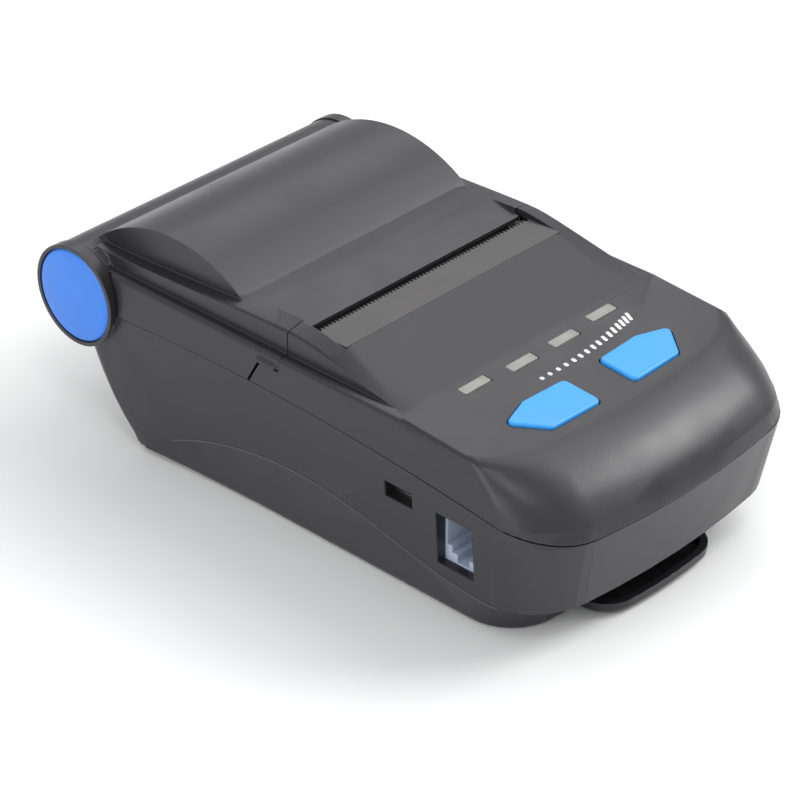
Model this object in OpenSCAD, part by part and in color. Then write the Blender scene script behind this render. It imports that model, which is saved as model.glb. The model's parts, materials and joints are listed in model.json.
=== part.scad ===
// Portable receipt printer for 58 mm paper, with a hinged lid, a control panel and a belt clip.
// +Z is up, -Y is the front with the control panel, and the origin is under the middle of the case.
// Side views are drawn from the lid's hinge axis: the first number runs back, the second runs up.

/* [Case] */
// Height of the hinge axis above the table
axis_h = 33.2; // [32:0.1:36]
// Distance from the hinge axis to the front of the nose
nose_reach = 130.6; // [126:0.2:136]
// Half the width of the case at the seam
half_w = 38.8; // [38:0.1:41]
// Wall thickness of the case parts
wall = 2.0; // [1.6:0.1:2.2]
// How much each side wall leans in per millimetre of height
side_draft = 0.067; // [0.04:0.001:0.08]
// Radius of the two front corners in plan
corner_r = 14; // [12:0.5:16]
// How far the middle of the front bows out
front_bow = 1.6; // [0.5:0.1:2.5]
// Width of the seam between the upper and the lower shells
seam = 0.3; // [0.2:0.05:0.5]

/* [Hinge] */
// Outer radius of the round ears
ear_r = 11.2; // [10.5:0.1:12]
// Distance from the middle of the case to the outer face of an ear
ear_out = 40.2; // [39.8:0.1:42]
// Thickness of a round ear
ear_t = 2.7; // [2.4:0.1:3]
// Outer radius of the lid's hinge barrel
barrel_r = 10.9; // [10:0.1:11]
// Radius of the hinge pins
hinge_pin_r = 2.0; // [1.5:0.1:3]
// Radius of the round blue caps
cap_r = 10.3; // [8:0.1:10.3]
// Depth of the pocket that holds a cap
cap_pocket = 1.3; // [1:0.1:1.5]

/* [Lid] */
// Distance from the hinge axis to the joint between the lid and the top cover
split_y = 57.2; // [56.8:0.1:57.6]
// Half the width of the domed roll cover
dome_half = 32.7; // [31:0.1:33.5]
// Radius of the dome
dome_r = 34; // [33:0.1:35]
// Clearance between the gears and the side walls of the deck
deck_gap = 0.6; // [0.4:0.05:1]
// Height of the ledge beside the deck above the hinge axis
ledge_z = 7.8; // [7.4:0.1:8]
// Radius of the rail along the top of each side wall
rail_r = 1.2; // [0.6:0.1:1.4]
// Thickness of the lid shell
lid_wall = 1.6; // [1.2:0.1:1.8]

/* [Control panel] */
// Height of the panel plane above the hinge axis if it ran back to the axis
panel_z0 = 14.33; // [14:0.05:14.6]
// Fall of the panel plane per millimetre towards the front
panel_fall = 0.073; // [0.06:0.001:0.08]
// Clearance round a button
button_gap = 0.3; // [0.2:0.05:0.4]
// Travel of a button
button_travel = 0.3; // [0.2:0.05:0.4]
// Length of a status window
window_l = 7.4; // [6:0.1:8]
// Width of a status window
window_w = 2.5; // [2:0.1:3]

/* [Printing] */
// Length of the paper slot
slot_l = 60; // [59:0.2:61]
// Length of the rubber roller
roller_l = 57.6; // [56:0.2:57.6]
// Radius of the rubber roller
roller_r = 5.0; // [4.5:0.1:5.2]
// Radius of the roller shaft
shaft_r = 1.5; // [1.2:0.1:2]
// Radius of the roller's bushes
bush_r = 3.0; // [2.6:0.1:3.4]
// Gear module
gear_m = 0.5; // [0.5:0.05:0.5]
// Teeth on the roller gear
roller_teeth = 20; // [20:1:20]
// Teeth on the idler gear
idler_teeth = 30; // [30:1:30]
// Teeth on the motor pinion
pinion_teeth = 12; // [12:1:12]
// Radius of the stepper motor
motor_r = 7.5; // [6:0.1:7.8]
// Length of the stepper motor
motor_l = 13; // [10:0.5:16]
// Number of teeth on the tear bar
tear_teeth = 60; // [30:2:60]
// Radius of the paper tray
tray_r = 20.8; // [20:0.1:21]

/* [Power and ports] */
// Length of the battery pack
battery_l = 54; // [48:0.5:54]
// Width of the battery pack
battery_w = 32.5; // [30:0.5:33]
// Thickness of the battery pack
battery_t = 9.4; // [8:0.2:9.6]
// Width of the modular jack's window
jack_w = 9.6; // [9:0.1:10]
// Height of the modular jack's window
jack_h = 12.2; // [11.6:0.1:12.4]

/* [Belt clip] */
// Half the width of the clip plate
clip_half = 17.5; // [15:0.5:18]
// Distance from the hinge axis to the clip's pin
clip_pin_y = 112; // [111:0.5:113]
// Radius of the clip's pin
clip_pin_r = 1.25; // [1:0.05:1.5]
// Length of the clip's arm behind the pin
clip_arm = 36; // [30:1:38]

/* [Hidden] */
$fn = 72;

// Sizes that follow from the driving dimensions
hinge_y = (nose_reach - ear_r) / 2;
ear_in = ear_out - ear_t;
eps = 0.01;
hull_fn = 32;
seam_crown_y = -45;
seam_crown_r = 506;
seam_bottom = -7.1;
front_lean = 0.19;
top_draft = 0.13;
dome_y = -22.3;
dome_z = 19.1 - dome_r;
deck_front_y = -88;
deck_end_y = deck_front_y - 8;
foot_z = -axis_h;
barrel_half = ear_in - 0.3;
barrel_wall = 1.8;
barrel_room = barrel_half - lid_wall - 0.4;
slot_y = -59.6;
slot_half = 0.9;
slot_z = 12.5;
facet_front_y = -69.2;
roller_y = slot_y - 0.2 + roller_r;
roller_z = 5.6;
roller_half = roller_l / 2;
bracket_x = roller_half + 0.5;
bracket_t = 0.8;
frame_x = bracket_x + bracket_t + 0.4;
frame_t = 1.0;
gear_x = frame_x + frame_t + 0.4;
gear_w = 1.4;
deck_half = gear_x + gear_w + deck_gap + lid_wall;
roller_pitch_r = gear_m * roller_teeth / 2;
idler_pitch_r = gear_m * idler_teeth / 2;
pinion_pitch_r = gear_m * pinion_teeth / 2;
mesh_play = 0.1;
idler_z = roller_z - roller_pitch_r - idler_pitch_r - mesh_play;
motor_angle = 200;
pinion_reach = idler_pitch_r + pinion_pitch_r + mesh_play;
pinion_y = roller_y + pinion_reach * cos(motor_angle);
pinion_z = idler_z + pinion_reach * sin(motor_angle);
head_face_y = slot_y - 0.5;
head_t = 1.0;
sink_t = 2.4;
head_pivot_y = head_face_y - head_t - sink_t / 2;
head_pivot_z = -1.5;
head_half = 29.4;
spring_seat_y = -67.8;
frame_floor_z = -7;
board_z = -7.0;
board_t = 1.6;
board_back_y = -77;
board_front_y = -120;
board_half = 34.5;
key_board_z = -1.6;
key_board_t = 1.2;
switch_top_z = key_board_z + key_board_t + 2.4;
button_rise = 0.6;
button_x = 13.5;
button_y = -106.4;
usb_y = -89.4;
usb_z = -9.0;
usb_w = 7.0;
usb_h = 3.4;
port_x = -35.3;
jack_y = -103.7;
jack_z = -14.5;
jack_back_y = jack_y + jack_w / 2 + 0.3;
jack_front_y = jack_y - jack_w / 2 - 0.3;
jack_foot_z = jack_z - jack_h / 2 - 0.8;
tray_y = -28;
tray_z = -4;
tray_t = 1.5;
tray_half = 29.4;
floor_z = foot_z + wall;
battery_y = -62.6 - battery_w / 2;
door_half = battery_l / 2 + 1.5;
door_back_y = battery_y + battery_w / 2 + 1.5;
door_front_y = battery_y - battery_w / 2 - 1.5;
clip_t = 2.0;
channel_depth = 2.8;
clip_z = foot_z + 0.5;
clip_pin_z = clip_z + 2.3;
channel_half = clip_half + 1;
channel_z = foot_z + channel_depth;
clip_block_z = channel_z + 5.9;
tab_front_y = -126.0;
tab_z = -32.4;
arm_half = 13;
bay_top_z = -19;
post_r = 2.6;
front_post_x = 24;
front_post_y = -113.2;
back_post_x = 27;
key_post_x = 29;
key_post_y = [-88, -109];
bracket_screw_x = 22;
bracket_screw_y = -46;
bracket_top_z = 9.4;
tear_half = slot_l / 2 + 1.2;
tear_seat_y = slot_y - 2.3;
back_post_y = -53.2;
// Posts under the main board: x, y and foot
board_posts = [[33, -80, -21], [31.5, -96, -30]];
// Places of the case screws: x, y and the top of the post
case_screw_places = [for (s = [-1, 1]) for (p = [[front_post_x, front_post_y, board_z - 0.3],
    [back_post_x, back_post_y, frame_floor_z]]) [s * p[0], p[1], p[2]]];

// Turn of each gear so that a tooth meets a space on each line of centres
roller_turn = 90;
idler_turn = 90 + 180 / idler_teeth;
idler_lag = (motor_angle - idler_turn) * idler_teeth / 360;
pinion_turn = motor_angle - 180 + 180 / pinion_teeth
    - (round(idler_lag) - idler_lag) * 360 / pinion_teeth;

// Height of the seam at a place along the case
function seam_z(y) = sqrt(seam_crown_r * seam_crown_r - pow(y - seam_crown_y, 2)) - seam_crown_r;
// Height of the control panel's plane
function panel_z(y) = panel_z0 + panel_fall * y;
// A point on a cubic Bezier curve, and a line of such points
function bezier(p, t) = pow(1 - t, 3) * p[0] + 3 * t * pow(1 - t, 2) * p[1]
    + 3 * t * t * (1 - t) * p[2] + pow(t, 3) * p[3];
function curve(p, steps) = [for (i = [0:steps]) bezier(p, i / steps)];
function arc(c, r, a0, a1, steps) = [for (i = [0:steps])
    let (a = a0 + (a1 - a0) * i / steps) c + r * [cos(a), sin(a)]];
// Where the panel ends and the nose begins to round over
nose_top_y = -(nose_reach - 16.3);
nose_top_z = panel_z(nose_top_y);
nose_roll = 1.6;
function nose_share(z) = max(0, z - seam_bottom) / (nose_top_z - seam_bottom);
// Front edge of the case at a height: the nose above the seam, the leaning front wall below it
function nose_y(z) = z < seam_bottom ? -nose_reach + front_lean * (seam_bottom - z)
    : nose_top_y - 16.3 * pow(max(0, 1 - pow(nose_share(z), nose_roll)), 1 / nose_roll);
// Rear edge of the lower case at a height
rear_line = [1.0, -1.8, -3.6, -11.3];
rear_top_z = -4;
rear_turn_z = -29.3;
function rear_y(z) = z > rear_top_z ? rear_line[0]
    : z > rear_turn_z ? bezier(rear_line, (rear_top_z - z) / (rear_top_z - rear_turn_z))
    : rear_line[3] - 9.2 * (1 - sqrt(max(0, 1 - pow((rear_turn_z - z) / (axis_h + rear_turn_z), 2))));
// Half the width of the case at a height
function half_at(z) = z > 0 ? half_w - top_draft * z : half_w + side_draft * z;

// Places a shape drawn from the hinge axis into the part's frame
module from_axis() {
    translate([0, hinge_y, axis_h]) children();
}

// Extrudes a side outline (y, z) across the case from x0 to x1
module across(x0, x1) {
    translate([x0, 0, 0]) rotate([90, 0, 90]) linear_extrude(x1 - x0) children();
}

// Extrudes a front outline (x, z) along the case from y0 to y1
module along(y0, y1) {
    translate([0, y1, 0]) rotate([90, 0, 0]) linear_extrude(y1 - y0) children();
}

// Cylinder along x
module rod(y, z, r, x0, x1) {
    translate([x0, y, z]) rotate([0, 90, 0]) cylinder(r = r, h = x1 - x0);
}

// Box given by its two corners
module block(a, b) {
    translate(a) cube(b - a);
}

module mirrored() {
    children();
    mirror([1, 0, 0]) children();
}

// Closed skin over rings that have the same number of points. The last ring may be closed by several
// flat parts, each given as the numbers of its points.
module skin(rings, parts = []) {
    n = len(rings[0]);
    m = len(rings);
    ends = len(parts) > 0 ? parts : [[for (k = [0:n - 1]) k]];
    polyhedron(points = [for (ring = rings) for (p = ring) p], convexity = 8, faces = concat(
        [[for (k = [0:n - 1]) k]],
        [for (i = [0:m - 2]) for (k = [0:n - 1]) [i * n + k, (i + 1) * n + k, (i + 1) * n + (k + 1) % n]],
        [for (i = [0:m - 2]) for (k = [0:n - 1]) [i * n + k, (i + 1) * n + (k + 1) % n, i * n + (k + 1) % n]],
        [for (e = ends) [for (k = [len(e) - 1:-1:0]) (m - 1) * n + e[k]]]));
}

// Front of a plan outline: two rounded corners joined by a bowed edge. Each corner starts turned in
// from its side by an angle.
function plan_front(half, front, r, bow, turn = 0) = let (reach = half - r * cos(turn),
    th = atan(2 * bow / reach), edge = reach + r * sin(th), k = tan(th) / (2 * edge),
    cy = front + k * edge * edge + r * cos(th))
    concat(arc([-reach, cy], r, 180 + turn, 270 - th, 8),
        [for (i = [-2:2]) [edge * i / 3, front + k * pow(edge * i / 3, 2)]],
        arc([reach, cy], r, 270 + th, 360 - turn, 8));

// Plan outline at one height: rounded corners, bowed front
function plan_ring(z, half, front, back, r_front, r_back, bow) = [for (p = concat(
    arc([half - r_back, back - r_back], r_back, 0, 90, 3),
    arc([-half + r_back, back - r_back], r_back, 90, 180, 3),
    plan_front(half, front, r_front, bow))) [p[0], p[1], z]];

// Outer form of the lower case, drawn in by t for its inside
module case_form(t = 0) {
    bottom = foot_z + t;
    skin([for (z = concat([bottom], [for (h = [-32.2, -31, -29.3, -26, -22, -17, -11, seam_bottom, -3, 2])
        if (h > bottom + 0.4) h]))
        plan_ring(z, half_at(z) - t, nose_y(z) + t, rear_y(z) - t, corner_r - t, 2.2 - t / 2, front_bow)]);
}

// Narrow base under the arched hand recess. It flares out to the side walls at the rear.
base_flare = 40;
function base_ring(z, half, front, back, r, flare, t) = let (f = plan_front(half - t, front + t, r - t, 1),
    m = (len(f) - 1) / 2, wide = half + flare - t, rear = back - t, q = 3 - t / 2,
    side = [for (k = [3:-1:1]) [half - t + flare * pow(1 - k / 4, 2), rear - q - base_flare * k / 4]])
    [for (p = concat([for (i = [m:2 * m]) f[i]], side, arc([wide - q, rear - q], q, 0, 90, 3),
        arc([q - wide, rear - q], q, 90, 180, 3), [for (k = [2:-1:0]) [-side[k][0], side[k][1]]],
        [for (i = [0:m - 1]) f[i]])) [p[0], p[1], z]];
module base_form(t = 0) {
    skin([base_ring(foot_z + t, 33.4, -116.4, rear_y(foot_z), 11, 0.45, t),
        base_ring(foot_z + 0.6 + t, 34.1, -117.2, rear_y(foot_z + 0.6), 11.5, 1.2, t),
        base_ring(foot_z + 1.6 + t, 34.6, -117.7, rear_y(foot_z + 1.6), 12, half_at(foot_z + 1.6) - 34.6, t),
        base_ring(-14, half_at(-14) - 0.4, -122.5, -4, 13, 0, t)]);
}

// Form of the top cover's nose and panel. Its top follows the panel, then the ledge beside the deck.
panel_back_y = (ledge_z - panel_z0) / panel_fall;
function cover_top(y) = min(ledge_z, panel_z(max(y, nose_top_y)));
function lifted(z, y) = seam_bottom
    + (z - seam_bottom) * (cover_top(y) - seam_bottom) / (nose_top_z - seam_bottom);
// One ring of the nose. Its arguments: height at the front, inset, wall. Towards the top its corners
// turn in from the sides.
function nose_ring(z, inset, t) = let (
    half = half_at(min(z, nose_top_z - rail_r)) - inset - t,
    share = nose_share(z), r = corner_r + 6 * share - t,
    turn = 26 * sqrt(share) + 14 * pow(share, 8), low = t * share,
    back = t > 0 ? -46 : -48)
    [for (p = concat([[half, back], [-half, back], [-half, panel_back_y]],
        plan_front(half, nose_y(z) + t, r, front_bow, turn), [[half, panel_back_y]]))
        [p[0], p[1], lifted(z, p[1]) - low]];
module nose_form(t = 0) {
    n = len(nose_ring(0, 0, t));
    skin(concat([for (z = [-8.5, seam_bottom, -4, -1, 1.5, 3.4]) nose_ring(z, 0, t)],
        [for (a = [0:30:90]) nose_ring(nose_top_z - rail_r * (1 - sin(a)), rail_r * (1 - cos(a)), t)]),
        [[0, 1, 2, n - 1], [for (k = [2:n - 1]) k]]);
}

// Side outline of everything above the seam, lifted by half the seam
module above_seam(y0, y1, rise = 0) {
    polygon(concat([[y0, 40], [y0, seam_z(y0) + rise]],
        [for (i = [1:23]) let (y = y0 + (y1 - y0) * i / 24) [y, seam_z(y) + rise]],
        [[y1, seam_z(y1) + rise], [y1, 40]]));
}

// Lower edge of the upper side wall: an arch over the hand recess
arch_back = [[-14.4, -31.6], [-24, -25.6], [-40, -17], [-62, -17]];
arch_front = [[-62, -17], [-80, -17], [-94, -25], [-112, -24.6]];
module arch_outline(lift = 0) {
    polygon(concat([[40, 20], [-150, 20], [-150, -22 + lift], [-132, -22.8 + lift]],
        [for (p = curve([for (i = [3:-1:0]) arch_front[i]], 10)) p + [0, lift]],
        [for (i = [1:10]) bezier([for (k = [3:-1:0]) arch_back[k]], i / 10) + [lift, lift / 2]],
        [[40, arch_back[0][1] + lift / 2]]));
}

// Top line of the deck seen from the side: over the lid, and on over the top cover
lid_line = curve([[-2, 10.7], [-20, 11.0], [-40, 13.2], [-split_y, 13.9]], 14);
cover_line = concat(curve([[-split_y - seam, 13.9], [-60.7, 14.0], [-65, 13.2], [facet_front_y, 12.4]], 6),
    [[deck_front_y, panel_z(deck_front_y)], [deck_end_y, panel_z(deck_end_y) - 0.8]]);
// Half the width of the deck's level middle, and how far its edge lies under that
crown_half = deck_half - 5.7;
function deck_drop(y) = y > -split_y ? pow(max(0, -y) / split_y, 1.2)
    : y > -70 ? 1 : (y - deck_end_y) / (-70 - deck_end_y);

// The deck along one line, drawn in by t for its inside, with its ends moved out by more
module deck_form(line, t = 0, more = 0) {
    n = len(line) - 1;
    half = deck_half - t;
    skin([for (i = [0:n]) let (y = line[i][0] + (i == 0 ? more : i == n ? -more : 0),
            z = line[i][1] - t, drop = deck_drop(y))
        [[half, y, 2 - t], [half, y, z - 1.4 * drop], [half - 0.6, y, z - drop], [crown_half, y, z],
            [-crown_half, y, z], [-half + 0.6, y, z - drop], [-half, y, z - 1.4 * drop], [-half, y, 2 - t]]]);
}

// Shallow valley round the paper slot: its rear slope and its front facet
valley_half = slot_l / 2 + 0.9;
module valley() {
    across(-valley_half, valley_half)
        polygon([[-48.8, 13.6], [slot_y + slot_half, slot_z], [slot_y - slot_half, slot_z],
            [facet_front_y, slot_z - 0.1], [facet_front_y, 16], [-48.8, 16]]);
}

// Side view of the tongue of the top cover that reaches back under the lid's finger tab
module tongue_outline(gap = 0) {
    rise = min(gap, seam);
    polygon([[-split_y - seam - 1, -10], [-split_y - seam - 1, 4.9 + rise], [-52.4 + gap, 4.9 + rise],
        [-49.4 + gap, -0.6], [-49.4 + gap, -10]]);
}

// Cross-section of the lid's skirts under the deck, drawn in by t for their inside
module skirt_section(t = 0) {
    foot = half_at(0) - t;
    turn_z = ledge_z - rail_r;
    turn = half_at(turn_z) - t;
    polygon(concat([[-foot, -4], [foot, -4], [foot, 0]],
        arc([turn - rail_r, turn_z - t], rail_r, 0, 90, 4),
        arc([-turn + rail_r, turn_z - t], rail_r, 90, 180, 4), [[-foot, 0]]));
}

// Screw post with a hole up its middle, or only up to a height
module post(x, y, z0, z1, r, hole, depth = 99) {
    translate([x, y, z0]) difference() {
        cylinder(r = r, h = z1 - z0, $fn = 32);
        translate([0, 0, -1]) cylinder(r = hole, h = 1 + min(depth, z1 - z0 + 1), $fn = 24);
        if (depth < 99) translate([0, 0, -1]) cylinder(r = 1.3, h = z1 - z0 + 2, $fn = 24);
    }
}

// Outline of a button: a home plate that points outwards, with rounded corners
button_points = [[5, -111.4], [5.1, -101.9], [16.7, -101.4], [24.4, -104], [18.8, -111]];
module button_outline(grow = 0) {
    offset(r = 1.2 + grow, $fn = 24) offset(delta = -1.2) polygon(button_points);
}

// Places of the four status windows, in a shallow curve over the scale
window_places = [[-18.7, -91.2], [-6.2, -92.2], [6.2, -92.2], [18.7, -91.2]];
module window_bar(p, grow, z0, z1) {
    block([p[0] - window_l / 2 - grow, p[1] - window_w / 2 - grow, z0],
        [p[0] + window_l / 2 + grow, p[1] + window_w / 2 + grow, z1]);
}

// Straight-flanked gear outline
module gear_outline(teeth, m, backlash = 0.12, turn = 0) {
    rp = m * teeth / 2;
    ro = rp + 0.9 * m;
    ri = rp - 1.15 * m;
    step = 360 / teeth;
    half_root = 0.36 * step;
    half_pitch = (0.25 - backlash / (PI * m) / 4) * step;
    half_tip = 0.13 * step;
    polygon([for (i = [0:teeth - 1]) for (q = [[-half_root, ri], [-half_pitch, rp], [-half_tip, ro],
        [half_tip, ro], [half_pitch, rp], [half_root, ri]])
        let (a = turn + i * step + q[0]) q[1] * [cos(a), sin(a)]]);
}

module gear(y, z, teeth, turn, bore) {
    translate([gear_x, y, z]) rotate([90, 0, 90]) difference() {
        linear_extrude(gear_w) gear_outline(teeth, gear_m, turn = turn);
        translate([0, 0, -1]) cylinder(r = bore, h = gear_w + 2);
    }
}

// Points of a helix about z, and the unbroken tube of wire that follows a line of points
function helix_points(r, pitch, curls, rings) = [for (i = [0:curls * rings])
    let (a = 360 * i / rings) [r * cos(a), r * sin(a), pitch * i / rings]];
function unit(v) = v / norm(v);
module wire_along(points, r, sides = 6) {
    n = len(points) - 1;
    skin([for (i = [0:n]) let (
        dir = unit(points[min(i + 1, n)] - points[max(i - 1, 0)]),
        side = unit(cross(dir, [points[i][0], points[i][1], 0])),
        up = cross(side, dir))
        [for (k = [0:sides - 1]) points[i] + r * (cos(360 * k / sides) * up + sin(360 * k / sides) * side)]]);
}

module lower_case() {
    color([0.23, 0.23, 0.25]) from_axis() {
        difference() {
            union() {
                intersection() {
                    case_form();
                    across(-half_w - 1, half_w + 1) arch_outline();
                }
                base_form();
            }
            difference() {
                union() {
                    intersection() {
                        case_form(wall);
                        across(-half_w - 1, half_w + 1) arch_outline(wall);
                    }
                    base_form(wall);
                }
                // Raised floor round the battery bay, and the block that holds the clip's pin
                block([-door_half - 1.6, door_front_y - 1.6, foot_z - 1],
                    [door_half + 1.6, door_back_y + 1.6, bay_top_z]);
                block([-clip_half - 3, -120, foot_z - 1], [clip_half + 3, -clip_pin_y + 5.6, clip_block_z]);
                block([-clip_half - 3, -118, foot_z - 1], [clip_half + 3, door_front_y, channel_z + 1.2]);
            }
            // Everything above the seam
            across(-60, 60) above_seam(-150, 20, -seam / 2);
            // Room for the lid's barrel
            rod(0, 0, barrel_r + 0.5, -ear_in, ear_in);
            // Battery bay and the clip's channel with its open mouth
            block([-door_half, door_front_y, foot_z - 1], [door_half, door_back_y, bay_top_z + 1]);
            block([-channel_half, -140, foot_z - 1], [channel_half, door_front_y + 1, channel_z]);
            across(-channel_half, channel_half) translate([-clip_pin_y, channel_z])
                polygon([[0, -4], [0, 2.7], [-1.6, 3.1], [-4, 4], [-6, 4.8], [-12, 7.5], [-12, -4]]);
            rod(-clip_pin_y, clip_pin_z, 2.4, -arm_half - 0.4, arm_half + 0.4);
            rod(-clip_pin_y, clip_pin_z, clip_pin_r + 0.02, -arm_half - 3.1, arm_half + 3.1);
            block([-5.3, -clip_pin_y - 2, foot_z - 1], [5.3, -clip_pin_y + 4.4, clip_pin_z + 2.1]);
            // Ports in the side wall
            block([-60, usb_y - 3.7, usb_z - 1.95], [-34, usb_y + 3.7, usb_z + 1.95]);
            block([-60, jack_y - jack_w / 2, jack_z - jack_h / 2],
                [-34, jack_y + jack_w / 2, jack_z + jack_h / 2]);
            block([port_x - 0.05, jack_front_y - 0.1, jack_foot_z - 0.1],
                [port_x + 15.1, jack_back_y + 0.1, board_z]);
            // Holes for the case screws, with room for their heads
            for (p = case_screw_places) translate([p[0], p[1], foot_z - 1]) {
                cylinder(r = 1.3, h = 30, $fn = 24);
                cylinder(r = 2.3, h = wall + 2.4, $fn = 24);
            }
        }
        // Lugs for the clip's pin
        for (s = [-1, 1]) difference() {
            block([s * (arm_half + 1.9) - 1.4, -clip_pin_y - 1.7, foot_z + 0.6],
                [s * (arm_half + 1.9) + 1.4, -clip_pin_y + 2.6, channel_z + 0.5]);
            rod(-clip_pin_y, clip_pin_z, clip_pin_r + 0.02, -60, 60);
        }
        // Round ears that carry the hinge pins and the blue caps
        for (s = [-1, 1]) difference() {
            rod(0, 0, ear_r, min(s * ear_in, s * ear_out), max(s * ear_in, s * ear_out));
            rod(0, 0, cap_r + 0.1, s > 0 ? ear_out - cap_pocket : -ear_out - 1,
                s > 0 ? ear_out + 1 : -ear_out + cap_pocket);
            rod(0, 0, hinge_pin_r + 0.03, -ear_out - 1, ear_out + 1);
        }
        // Posts for the case screws and the main board
        for (p = case_screw_places) {
            post(p[0], p[1], floor_z + 1.5, p[2], post_r, 1.3);
            post(p[0], p[1], floor_z - 0.4, floor_z + 2, 3.5, 2.3, 1.8);
        }
        for (s = [-1, 1]) {
            for (p = board_posts) post(s * p[0], p[1], p[2], board_z, 2.2, 0.82);
        }
    }
}

module top_cover() {
    color([0.25, 0.25, 0.27]) from_axis() difference() {
        union() {
            intersection() {
                nose_form();
                across(-60, 60) intersection() {
                    above_seam(-150, -47, seam / 2);
                    union() {
                        translate([-150, -20]) square([150 - split_y - seam, 60]);
                        tongue_outline();
                    }
                }
            }
            deck_form(cover_line);
        }
        difference() {
            union() {
                nose_form(wall);
                deck_form(cover_line, lid_wall, 3);
            }
            // Bosses for the case screws and the key board
            for (s = [-1, 1]) {
                post(s * front_post_x, front_post_y, board_z - 0.3, 8, post_r, 0.92);
                for (y = key_post_y) post(s * key_post_x, y, key_board_z + key_board_t, 9, 1.8, 0.72);
            }
            // Seat under the tear bar
            block([-deck_half, facet_front_y - 1, slot_z - 3.9], [deck_half, tear_seat_y, slot_z - 2.2]);
        }
        // Pocket for the tear bar, the valley over it and the slot itself
        valley();
        block([-tear_half - 0.2, facet_front_y, slot_z - 2.2], [tear_half + 0.2, slot_y - slot_half, 20]);
        block([-tear_half - 0.2, tear_seat_y, 0], [tear_half + 0.2, slot_y + 5, 20]);
        for (p = window_places) window_bar(p, 0.05, 0, 12);
        mirrored() linear_extrude(20) button_outline(button_gap);
    }
}

module lid_shell() {
    color([0.24, 0.24, 0.26]) from_axis() {
        difference() {
            union() {
                // Deck and domed roll cover
                deck_form(lid_line);
                across(-dome_half, dome_half) intersection() {
                    translate([dome_y, dome_z]) circle(r = dome_r);
                    translate([-45, 8]) square([45, 20]);
                }
                // Side skirts with their ledge
                intersection() {
                    along(-split_y, 0) skirt_section();
                    across(-60, 60) above_seam(-split_y - 1, 0, seam / 2);
                }
                rod(0, 0, barrel_r, -barrel_half, barrel_half);
                // Lip between the joint with the top cover and the slot
                across(-slot_l / 2 - 0.6, slot_l / 2 + 0.6) polygon([[-split_y + 1, 13.9],
                    [slot_y + slot_half, 13.9], [slot_y + slot_half, slot_z - 0.9],
                    [-split_y, slot_z - 1.5], [-split_y + 1, slot_z - 1.5]]);
            }
            difference() {
                union() {
                    deck_form(lid_line, lid_wall, 2);
                    across(-dome_half + lid_wall, dome_half - lid_wall) intersection() {
                        translate([dome_y, dome_z]) circle(r = dome_r - lid_wall);
                        translate([-43, 5]) square([43, 20]);
                    }
                    along(-split_y - 1, 1) skirt_section(lid_wall);
                    rod(0, 0, barrel_r - barrel_wall, -barrel_room, barrel_room);
                }
                // Thicker deck under the valley, and the seats for the roller bracket
                across(-valley_half - 0.8, valley_half + 0.8) polygon([[-split_y - 2, slot_z - 1.5],
                    [-48, slot_z - 1.5], [-46, slot_z], [-46, 20], [-split_y - 2, 20]]);
                for (s = [-1, 1]) post(s * bracket_screw_x, bracket_screw_y, bracket_top_z, 16, 2.4, 0.82);
            }
            // The barrel is open towards the paper
            block([-barrel_half + 2, -barrel_r - 1, -barrel_r - 1], [barrel_half - 2, 1.9, 5]);
            // Shallow valley behind the slot
            valley();
            // Slanted front edge of the skirts over the cover's tongue
            for (s = [-1, 1]) across(s > 0 ? 35.7 : -60, s > 0 ? 60 : -35.7) tongue_outline(0.7);
            // Room for the ears
            for (s = [-1, 1]) rod(0, 0, ear_r + 0.5, s > 0 ? barrel_half : -60, s > 0 ? 60 : -barrel_half);
            // Bores for the hinge pins
            rod(0, 0, hinge_pin_r + 0.05, -60, 60);
        }
        // Finger tab that stands out of each skirt
        for (s = [-1, 1]) along(-56.6, -51.6)
            polygon([[s * 37, 5.25], [s * 38.7, 5.25], [s * 38.7, 5.7], [s * 37.9, 6.6], [s * 37, 6.6]]);
    }
}

module tear_bar() {
    pitch = slot_l / tear_teeth;
    depth = 0.9;
    color([0.42, 0.42, 0.44]) from_axis() translate([0, 0, slot_z - 2.1]) difference() {
        linear_extrude(2.0) polygon(concat(
            [[tear_half, facet_front_y + 0.1], [-tear_half, facet_front_y + 0.1],
            [-tear_half, slot_y - slot_half - 0.4]],
            [for (i = [0:tear_teeth - 1]) for (q = [[0, depth], [0.5, 0]])
                [-slot_l / 2 + (i + q[0]) * pitch, slot_y - slot_half - q[1]]],
            [[slot_l / 2, slot_y - slot_half - depth], [tear_half, slot_y - slot_half - 0.4]]));
        // Thin cutting edge: the underside rises towards the teeth
        across(-tear_half - 1, tear_half + 1) translate([slot_y - slot_half, 0])
            polygon([[-3, -1], [slot_half + 1, -1], [slot_half + 1, 1.4], [-0.4, 1.4]]);
    }
}

module hinge_cap(s) {
    color([0.18, 0.47, 0.93]) from_axis() {
        face = ear_out - cap_pocket;
        translate([s * face, 0, 0]) rotate([0, s * 90, 0]) rotate_extrude()
            polygon(concat([[hinge_pin_r + 0.6, 0], [cap_r, 0]],
                [for (a = [0:15:90]) [cap_r - 0.5 + 0.5 * cos(a), cap_pocket - 0.3 + 0.5 * sin(a)]],
                [[0, cap_pocket + 0.45], [0, 0.6], [hinge_pin_r + 0.6, 0.6]]));
    }
}

module hinge_cap_left() {
    hinge_cap(-1);
}

module hinge_cap_right() {
    hinge_cap(1);
}

module hinge_pins() {
    color([0.75, 0.76, 0.78]) from_axis() for (s = [-1, 1]) {
        inner = s * (barrel_half - lid_wall - 1.6);
        outer = s * (ear_out - cap_pocket + 0.5);
        rod(0, 0, hinge_pin_r, min(inner, outer), max(inner, outer));
    }
}

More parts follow.
